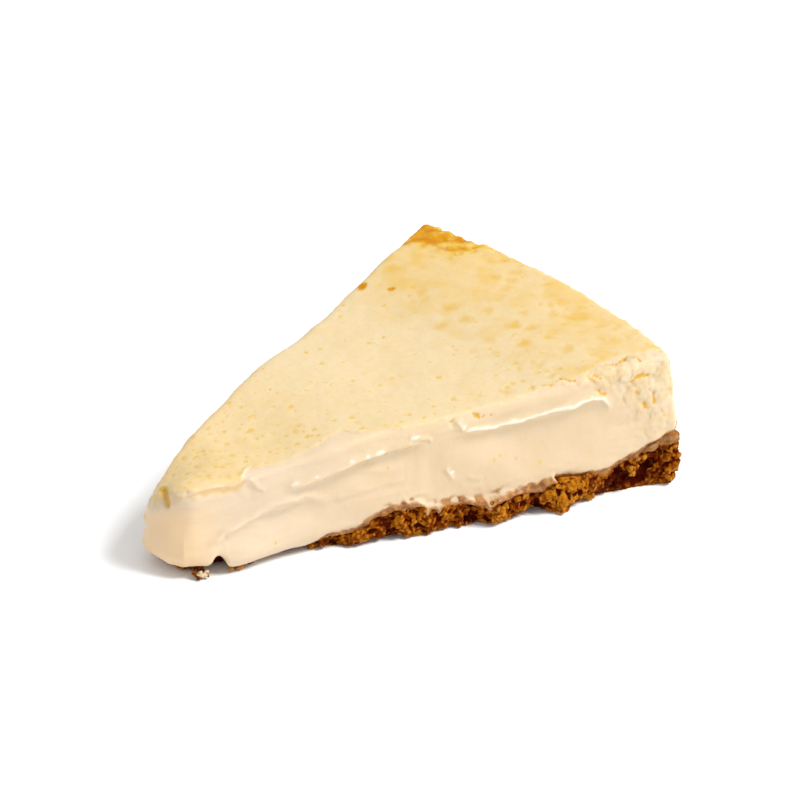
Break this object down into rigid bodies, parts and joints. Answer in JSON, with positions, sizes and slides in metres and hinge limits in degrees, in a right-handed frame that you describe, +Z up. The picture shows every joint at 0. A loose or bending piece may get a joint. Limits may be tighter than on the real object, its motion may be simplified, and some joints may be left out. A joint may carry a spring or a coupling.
{
  "type": "cheesecake slice",
  "caption": "Wedge slice of baked cheesecake: pale creamy filling with a lightly browned top on a brown biscuit crumb base.",
  "frame": {"origin": "middle of the slice's bounding box, on its underside", "axes": "+X along the middle of the slice from its tip to the rim, +Y across towards the far cut, +Z up"},
  "size_m": [0.1042, 0.0732, 0.0291],
  "materials": {
    "biscuit": "rough baked crumb",
    "filling": "moist baked cream cheese, satin"
  },
  "bodies": {
    "root": {"biscuit_base": "biscuit", "cheese_filling": "filling"}
  },
  "joints": []
}
